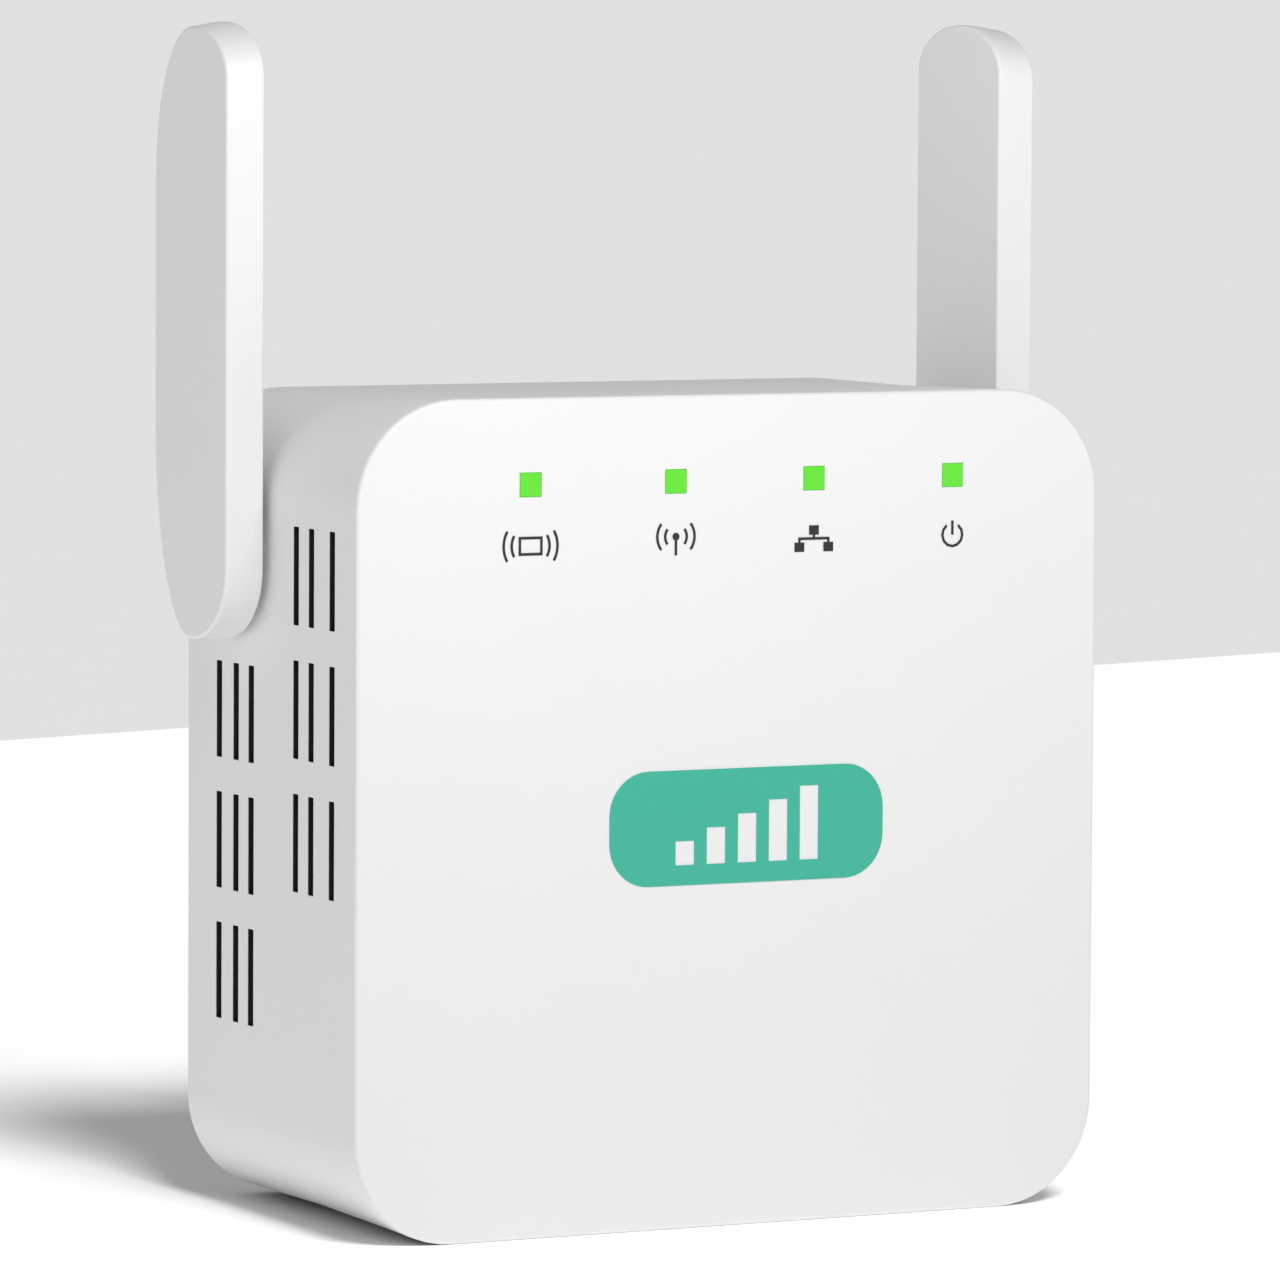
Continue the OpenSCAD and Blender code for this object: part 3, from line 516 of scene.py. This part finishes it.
def post_list():
    """Place, front end and hole depth of every screw post: (x, z, front y, hole end)."""
    board_back = FRONT_Y + 11.1 * MM
    power_back = REAR_Y - 4.9 * MM
    posts = []
    for side in (-1, 1):
        posts.append((side * 28 * MM, 10 * MM, board_back, board_back + 8 * MM))
        posts.append((side * 28 * MM, 66 * MM, board_back + 0.3 * MM, board_back + 8.3 * MM))
        posts.append((side * 20.5 * MM, 27.5 * MM, power_back, REAR_Y - 0.8 * MM))
    return posts


def build_housing():
    inner = HOUSING_SIZE - 2 * WALL
    inner_radius = HOUSING_RADIUS - WALL
    lip = 0.05 * MM
    taper_end = SEAM_Y + 19 * MM
    rings = [
        body_ring(inner, inner_radius, REAR_Y - BACK_WALL),
        body_ring(inner, inner_radius, SEAM_Y),
        body_ring(COVER_SIZE - 2 * lip, COVER_RADIUS - lip, SEAM_Y),
        body_ring(HOUSING_SIZE, HOUSING_RADIUS, taper_end),
    ]
    for along, inset in fillet(REAR_Y - REAR_EDGE, REAR_Y, REAR_EDGE, 8):
        rings.append(body_ring(HOUSING_SIZE - 2 * inset, HOUSING_RADIUS - inset, along))
    mesh = bmesh.new()
    add_loft(mesh, rings)
    housing = finish_mesh(mesh, "housing")

    mesh = bmesh.new()
    ring_x = SIDE_X - WALL - RING_DEPTH
    ring_radius = 7 * MM
    for side in (-1, 1):
        ring = [(ring_x, ring_radius), (SIDE_X - WALL / 2, ring_radius)]
        add_lathe(mesh, ring, HINGE_AT, (side, 0, 0))
    for x, z, front, _ in post_list():
        post = [(0, POST_RADIUS), (REAR_Y - BACK_WALL / 2 - front, POST_RADIUS)]
        add_lathe(mesh, post, (x, front, z), (0, 1, 0), 32)
    cut(housing, finish_mesh(mesh, "bosses"), "UNION")

    mesh = bmesh.new()
    for side in (-1, 1):
        for y, z in slot_places():
            add_slot(mesh, side, y, z)
        bore = [(ring_x - MM, HINGE_BORE), (SIDE_X + MM, HINGE_BORE)]
        add_lathe(mesh, bore, HINGE_AT, (side, 0, 0), 64)
    for x, z, front, hole_end in post_list():
        hole = [(-MM, POST_HOLE), (hole_end - front, POST_HOLE)]
        add_lathe(mesh, hole, (x, front, z), (0, 1, 0), 24)
    boss_hole = plug_outline(0.1 * MM)
    add_loft(mesh, [in_xz(boss_hole, y, z=PLUG_Z) for y in (REAR_Y - 3 * MM, REAR_Y + MM)])
    jack_gap = 0.15 * MM
    jack_half = 8 * MM + jack_gap
    add_block(
        mesh,
        (-jack_half, JACK_FRONT - jack_gap, FLOOR_Z - MM),
        (jack_half, JACK_FRONT + JACK_DEPTH + jack_gap, FLOOR_Z + WALL + MM),
    )
    for x, radius in ((BUTTON_X, BUTTON_HOLE), (-BUTTON_X, PINHOLE)):
        add_lathe(mesh, [(-MM, radius), (WALL + MM, radius)], (x, BUTTON_Y, FLOOR_Z), (0, 0, 1), 48)
    add_snaps(mesh, 0.1 * MM)
    cut(housing, finish_mesh(mesh, "openings"))

    def around_slots(p):
        on_side = SIDE_X - 0.05 * MM < abs(p.x) < COVER_SIZE / 2
        return on_side and SEAM_Y + MM < p.y < REAR_Y - 2 * MM and 10 * MM < p.z < 68 * MM

    def around_openings(p):
        under = abs(p.z - FLOOR_Z) < 0.05 * MM and abs(p.x) < 21 * MM
        behind = abs(p.y - REAR_Y) < 0.05 * MM and abs(p.z - PLUG_Z) < 12 * MM
        return under or behind

    soften(housing, 0.05 * MM, 2, 50, around_slots)
    soften(housing, 0.12 * MM, 2, 50, around_openings)
    # The walls inside the vents get painted shade, a near-black material in place of their shadow.
    paint_slot_shade(housing)
    shade(housing)
    settle(housing, "root", "white_plastic", ["rear_housing"])


def paint_slot_shade(housing):
    """Paints shade into the vents: gives the walls inside them the near-black painted-shade material,
    though the real walls are white plastic.
    """
    housing.data.materials.append(WHITE)
    housing.data.materials.append(PAINTED_SHADE)
    inner_x = SIDE_X - WALL - 0.01 * MM
    outer_x = SIDE_X - 0.11 * MM
    places = slot_places()
    for face in housing.data.polygons:
        c = face.center
        if not inner_x < abs(c.x) < outer_x:
            continue
        for y, z in places:
            if abs(c.y - y) < 0.6 * SLOT_WIDTH and abs(c.z - z) < 0.52 * SLOT_HEIGHT:
                face.material_index = 1


# ---------------------------------------------------------------- antennas

LID = 0.8 * MM
PADDLE_X = base_high.x - LID
OUTER_X = shell_high.x
EDGE = 0.3 * MM
SHELL_WALL = 1 * MM
TUBE_END = base_low.x
TUBE_RADIUS = 4 * MM
COLLAR_RADIUS = 6.3 * MM
LEAD_HOLE = 1.8 * MM
WASHER = 0.3 * MM
CLIP = 0.6 * MM
CLIP_GAP = 0.1 * MM


def mirrored(piece, name):
    """A copy of a piece, mirrored in X."""
    mesh = bmesh.new()
    mesh.from_mesh(piece.data)
    bmesh.ops.scale(mesh, vec=(-1, 1, 1), verts=mesh.verts)
    bmesh.ops.reverse_faces(mesh, faces=mesh.faces)
    return finish_mesh(mesh, name)


def build_antennas():
    """Lofts the right antenna's two halves along X, and mirrors them for the left."""
    seam = 0.02 * MM
    rings = [
        about_hinge(paddle(1, SHELL_WALL), OUTER_X - SHELL_WALL),
        about_hinge(paddle(1, SHELL_WALL), PADDLE_X + LID),
        about_hinge(paddle(0, seam), PADDLE_X + LID),
    ]
    steps = 6
    for i in range(steps):
        share = i / steps
        along = PADDLE_X + LID + seam + (OUTER_X - EDGE - PADDLE_X - LID - seam) * share
        rings.append(about_hinge(paddle(share), along))
    for along, inset in fillet(OUTER_X - EDGE, OUTER_X, EDGE, 7):
        rings.append(about_hinge(paddle(1, inset), along))
    mesh = bmesh.new()
    add_loft(mesh, rings)
    right_shell = finish_mesh(mesh, "right_shell")
    left_shell = mirrored(right_shell, "left_shell")

    rings = []
    for along, inset in reversed(fillet(PADDLE_X + EDGE, PADDLE_X, EDGE, 7)):
        rings.append(about_hinge(paddle(0, inset), along))
    rings.append(about_hinge(paddle(0), PADDLE_X + LID - seam))
    rings.append(about_hinge(paddle(0, seam), PADDLE_X + LID))
    mesh = bmesh.new()
    add_loft(mesh, rings)
    right_base = finish_mesh(mesh, "right_base")
    side = SIDE_X + 0.2 * MM
    lead_in = 0.3 * MM
    chamfer = 0.2 * MM
    tube = [
        (TUBE_END, TUBE_RADIUS - lead_in),
        (TUBE_END + lead_in, TUBE_RADIUS),
        (side, TUBE_RADIUS),
        (side, COLLAR_RADIUS - chamfer),
        (side + chamfer, COLLAR_RADIUS),
        (PADDLE_X + 0.1 * MM, COLLAR_RADIUS),
    ]
    mesh = bmesh.new()
    add_lathe(mesh, tube, HINGE_AT, (1, 0, 0), 64)
    cut(right_base, finish_mesh(mesh, "tube"), "UNION")
    clip_x = SIDE_X - WALL - RING_DEPTH - CLIP_GAP - WASHER - CLIP
    mesh = bmesh.new()
    hole = [(TUBE_END - MM, LEAD_HOLE), (PADDLE_X + LID + MM, LEAD_HOLE)]
    add_lathe(mesh, hole, HINGE_AT, (1, 0, 0), 32)
    bottom = 3.4 * MM
    clear = 5 * MM
    groove = [(clip_x, bottom), (clip_x, clear), (clip_x + CLIP, clear), (clip_x + CLIP, bottom)]
    add_lathe(mesh, groove, HINGE_AT, (1, 0, 0), 64, close=False)
    cut(right_base, finish_mesh(mesh, "hole"))
    left_base = mirrored(right_base, "left_base")
    for side_name, shell, base in (("right", right_shell, right_base), ("left", left_shell, left_base)):
        body = side_name + "_antenna"
        shade(shell)
        shade(base)
        settle(shell, body, "white_plastic", [side_name + "_antenna_shell"])
        settle(base, body, "white_plastic", [side_name + "_antenna_base"])


# ---------------------------------------------------------------- plug

SHANK = 2.4 * MM
SLEEVE = 1.8 * MM
NECK = 1.5 * MM
SLEEVE_END = sleeves_high.y
SLEEVE_ROOT = sleeves_low.y
PIN = 2 * MM
PIN_TAIL = 0.8 * MM
PIN_ROUND = 1.3 * MM


def build_plug():
    """Builds the boss, the two pins and their two sleeves."""
    edge = 0.7 * MM
    shell = 1.8 * MM
    face = 3 * MM
    back = REAR_Y - BACK_WALL
    flange = back - 1.5 * MM
    flange_grow = 2 * MM
    post_radius = 4 * MM
    rings = [
        in_xz(plug_outline(-shell), BOSS_Y - face, z=PLUG_Z),
        in_xz(plug_outline(-shell), flange, z=PLUG_Z),
        in_xz(plug_outline(flange_grow), flange, z=PLUG_Z),
        in_xz(plug_outline(flange_grow), back, z=PLUG_Z),
        in_xz(plug_outline(0), back, z=PLUG_Z),
    ]
    for along, inset in fillet(BOSS_Y - edge, BOSS_Y, edge, 6):
        rings.append(in_xz(plug_outline(-inset), along, z=PLUG_Z))
    mesh = bmesh.new()
    add_loft(mesh, rings)
    insert = finish_mesh(mesh, "plug_boss")
    soften(insert, 0.9 * MM, 4, 30, lambda p: is_boss_corner(p, back))
    mesh = bmesh.new()
    for side in (-1, 1):
        post = [(REAR_Y + 2 * MM, post_radius), (BOSS_Y - face / 2, post_radius)]
        add_lathe(mesh, post, (side * PIN_X, 0, PLUG_Z), (0, 1, 0), 48)
    cut(insert, finish_mesh(mesh, "pin_posts"), "UNION")
    mesh = bmesh.new()
    for side in (-1, 1):
        bore = [(REAR_Y, SHANK), (SLEEVE_ROOT, SHANK), (SLEEVE_ROOT, SLEEVE), (BOSS_Y + MM, SLEEVE)]
        add_lathe(mesh, bore, (side * PIN_X, 0, PLUG_Z), (0, 1, 0), 48)
    cut(insert, finish_mesh(mesh, "pin_bores"))
    shade(insert)
    settle(insert, "root", "white_plastic", ["plug_insert"])

    mesh = bmesh.new()
    tail_y = pins_low.y
    for side in (-1, 1):
        profile = [
            (tail_y, 0.6 * MM), (tail_y + 0.2 * MM, PIN_TAIL), (REAR_Y + MM, PIN_TAIL),
            (REAR_Y + MM, SHANK - 0.3 * MM), (REAR_Y + 1.3 * MM, SHANK), (SLEEVE_ROOT, SHANK),
            (SLEEVE_ROOT, NECK), (SLEEVE_END, NECK), (SLEEVE_END, PIN - 0.15 * MM),
            (SLEEVE_END + 0.15 * MM, PIN), (TIP_Y - PIN_ROUND, PIN),
        ]
        for step in range(1, 7):
            angle = math.radians(90 * step / 6)
            along = TIP_Y - PIN_ROUND * (1 - math.sin(angle))
            profile.append((along, PIN - PIN_ROUND + PIN_ROUND * math.cos(angle)))
        add_lathe(mesh, profile, (side * PIN_X, 0, PLUG_Z), (0, 1, 0), 48)
    pins = finish_mesh(mesh, "pins")
    shade(pins)
    settle(pins, "root", "nickel", ["plug_pins"])

    mesh = bmesh.new()
    for side in (-1, 1):
        profile = [
            (SLEEVE_ROOT, NECK), (SLEEVE_END, NECK), (SLEEVE_END, SLEEVE - 0.1 * MM),
            (SLEEVE_END - 0.1 * MM, SLEEVE), (SLEEVE_ROOT, SLEEVE),
        ]
        add_lathe(mesh, profile, (side * PIN_X, 0, PLUG_Z), (0, 1, 0), 48, close=False)
    sleeves = finish_mesh(mesh, "sleeves")
    shade(sleeves)
    settle(sleeves, "root", "black_plastic", ["pin_sleeves"])


def is_boss_corner(p, back):
    """True on the long edges at the boss's corners."""
    if p.y < back + 0.2 * MM or p.y > BOSS_Y - 0.75 * MM:
        return False
    for x, z in plug_outline(0):
        if abs(p.x - x) < 0.05 * MM and abs(p.z - PLUG_Z - z) < 0.05 * MM:
            return True
    return False


# ---------------------------------------------------------------- pairing button

def build_button():
    """Turns the button: a dished face, and a flange that stays inside the housing."""
    low = button_low.z
    high = button_high.z
    flange = 0.6 * MM
    profile = [
        (low + 0.35 * MM, 0.05 * MM), (low + 0.3 * MM, 0.8 * MM), (low + 0.14 * MM, 1.6 * MM),
        (low, 2.1 * MM), (low + 0.06 * MM, 2.35 * MM), (low + 0.22 * MM, 2.5 * MM),
        (high - flange, 2.5 * MM), (high - flange, 3.3 * MM), (high - flange + 0.1 * MM, 3.4 * MM),
        (high - 0.1 * MM, 3.4 * MM), (high, 3.3 * MM),
    ]
    mesh = bmesh.new()
    add_lathe(mesh, profile, (BUTTON_X, BUTTON_Y, 0), (0, 0, 1), 48)
    button = finish_mesh(mesh, "button")
    shade(button)
    settle(button, "pairing_button", "grey_plastic", ["pairing_button"])


# ---------------------------------------------------------------- pieces kept from the frame

def dress_frame():
    """Gives every kept CAD node its material and fine bevels."""
    record = frame["record"]
    slots = {part["node"]: part["material_slot"] for part in record["subparts"]}
    flat_prints = {"badge", "light_symbols", "rating_label", "insulation_sheet"}
    for name, node in frame["nodes"].items():
        if node.hide_render:
            continue
        node.data.materials.clear()
        node.data.materials.append(MATERIALS[slots[name]])
        if name in flat_prints:
            continue
        bevel = node.modifiers.new("edges", "BEVEL")
        bevel.width = 0.08 * MM
        bevel.segments = 2
        bevel.limit_method = "ANGLE"
        bevel.angle_limit = math.radians(40)
        bevel.harden_normals = False


# ---------------------------------------------------------------- stage, light and camera

STAGE_REACH = 300.0
FLOOR_DEPTH = 6.0


def quad(name, corners, material):
    mesh = bmesh.new()
    mesh.faces.new([mesh.verts.new(c) for c in corners])
    piece = finish_mesh(mesh, name)
    piece.data.materials.append(material)
    piece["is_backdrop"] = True
    return piece


def build_stage():
    """A white floor that ends on a straight line far behind the body, and a grey backdrop beyond it."""
    white = surface("floor_white", (0.83, 0.83, 0.83), 0.9, shift=0.004, grain=400, bump=0.0)
    grey = surface("backdrop_grey", (0.63, 0.63, 0.633), 0.9, shift=0.004, grain=400, bump=0.0)
    for material in (white, grey):
        shader = material.node_tree.nodes["Principled BSDF"]
        shader.inputs["Specular IOR Level"].default_value = 0.0
    foot_a = Vector((0.136, 0.455, 0))
    foot_b = Vector((0.406, 0.527, 0))
    along = (foot_b - foot_a).normalized()
    across = Vector((-along.y, along.x, 0))
    left = foot_a - along * STAGE_REACH
    right = foot_a + along * STAGE_REACH
    near = across * FLOOR_DEPTH
    far = across * STAGE_REACH
    floor = quad("floor", [left, left - near, right - near, right], white)
    backdrop = quad("backdrop", [left, right, right + far, left + far], grey)
    return floor, backdrop


def add_light(name, data):
    light = bpy.data.objects.new(name, data)
    bpy.context.scene.collection.objects.link(light)
    return light


def area_light(name, place, target, size, power):
    data = bpy.data.lights.new(name, "AREA")
    data.shape = "RECTANGLE"
    data.size = size[0]
    data.size_y = size[1]
    data.energy = power
    light = add_light(name, data)
    light.location = place
    light.visible_camera = False
    light.rotation_euler = (Vector(target) - Vector(place)).to_track_quat("-Z", "Y").to_euler()
    return light


def sun_light(name, toward, power, angle):
    data = bpy.data.lights.new(name, "SUN")
    data.energy = power
    data.angle = math.radians(angle)
    light = add_light(name, data)
    light.rotation_euler = Vector(toward).to_track_quat("Z", "Y").to_euler()
    return light


def build_light(stage_pieces):
    """A soft world, one lamp that reaches only the object, and a sun that reaches only the stage."""
    world = bpy.data.worlds.new("studio")
    bpy.context.scene.world = world
    world.use_nodes = True
    nodes = world.node_tree.nodes
    links = world.node_tree.links
    background = nodes["Background"]
    background.inputs["Color"].default_value = (1, 1, 1, 1)
    background.inputs["Strength"].default_value = 0.385
    seen = nodes.new("ShaderNodeBackground")
    seen.inputs["Color"].default_value = (1, 1, 1.005, 1)
    seen.inputs["Strength"].default_value = 0.745
    path = nodes.new("ShaderNodeLightPath")
    mix = nodes.new("ShaderNodeMixShader")
    links.new(path.outputs["Is Camera Ray"], mix.inputs["Fac"])
    links.new(background.outputs["Background"], mix.inputs[1])
    links.new(seen.outputs["Background"], mix.inputs[2])
    links.new(mix.outputs["Shader"], nodes["World Output"].inputs["Surface"])
    key = area_light("key", (-0.035, -0.19, 0.20), (-0.005, -0.03, 0.05), (0.12, 0.08), 0.245)
    key.light_linking.receiver_collection = group("lit_by_lamps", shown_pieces())
    sun = sun_light("floor_sun", (-0.09, -0.95, 1.0), 3.5, 18)
    sun.light_linking.receiver_collection = group("lit_by_floor_sun", stage_pieces)


def group(name, members):
    """A collection of the objects that one light reaches."""
    collection = bpy.data.collections.new(name)
    for member in members:
        collection.objects.link(member)
    return collection


def build_camera():
    yaw = math.radians(27.393)
    pitch = math.radians(4.342)
    roll = math.radians(0.3414)
    data = bpy.data.cameras.new("camera")
    data.lens = 235.295
    data.sensor_width = 36.0
    data.clip_end = 2 * STAGE_REACH
    camera = bpy.data.objects.new("camera", data)
    bpy.context.scene.collection.objects.link(camera)
    turn = Matrix.Rotation(-yaw, 4, "Z") @ Matrix.Rotation(math.pi / 2 - pitch, 4, "X")
    place = Matrix.Translation((-0.3564005, -0.7045472, 0.1111486))
    camera.matrix_world = place @ turn @ Matrix.Rotation(roll, 4, "Z")
    bpy.context.scene.camera = camera


build_cover()
build_housing()
build_antennas()
build_plug()
build_button()
dress_frame()
build_light(build_stage())
build_camera()
bpy.context.scene.view_settings.view_transform = "Standard"
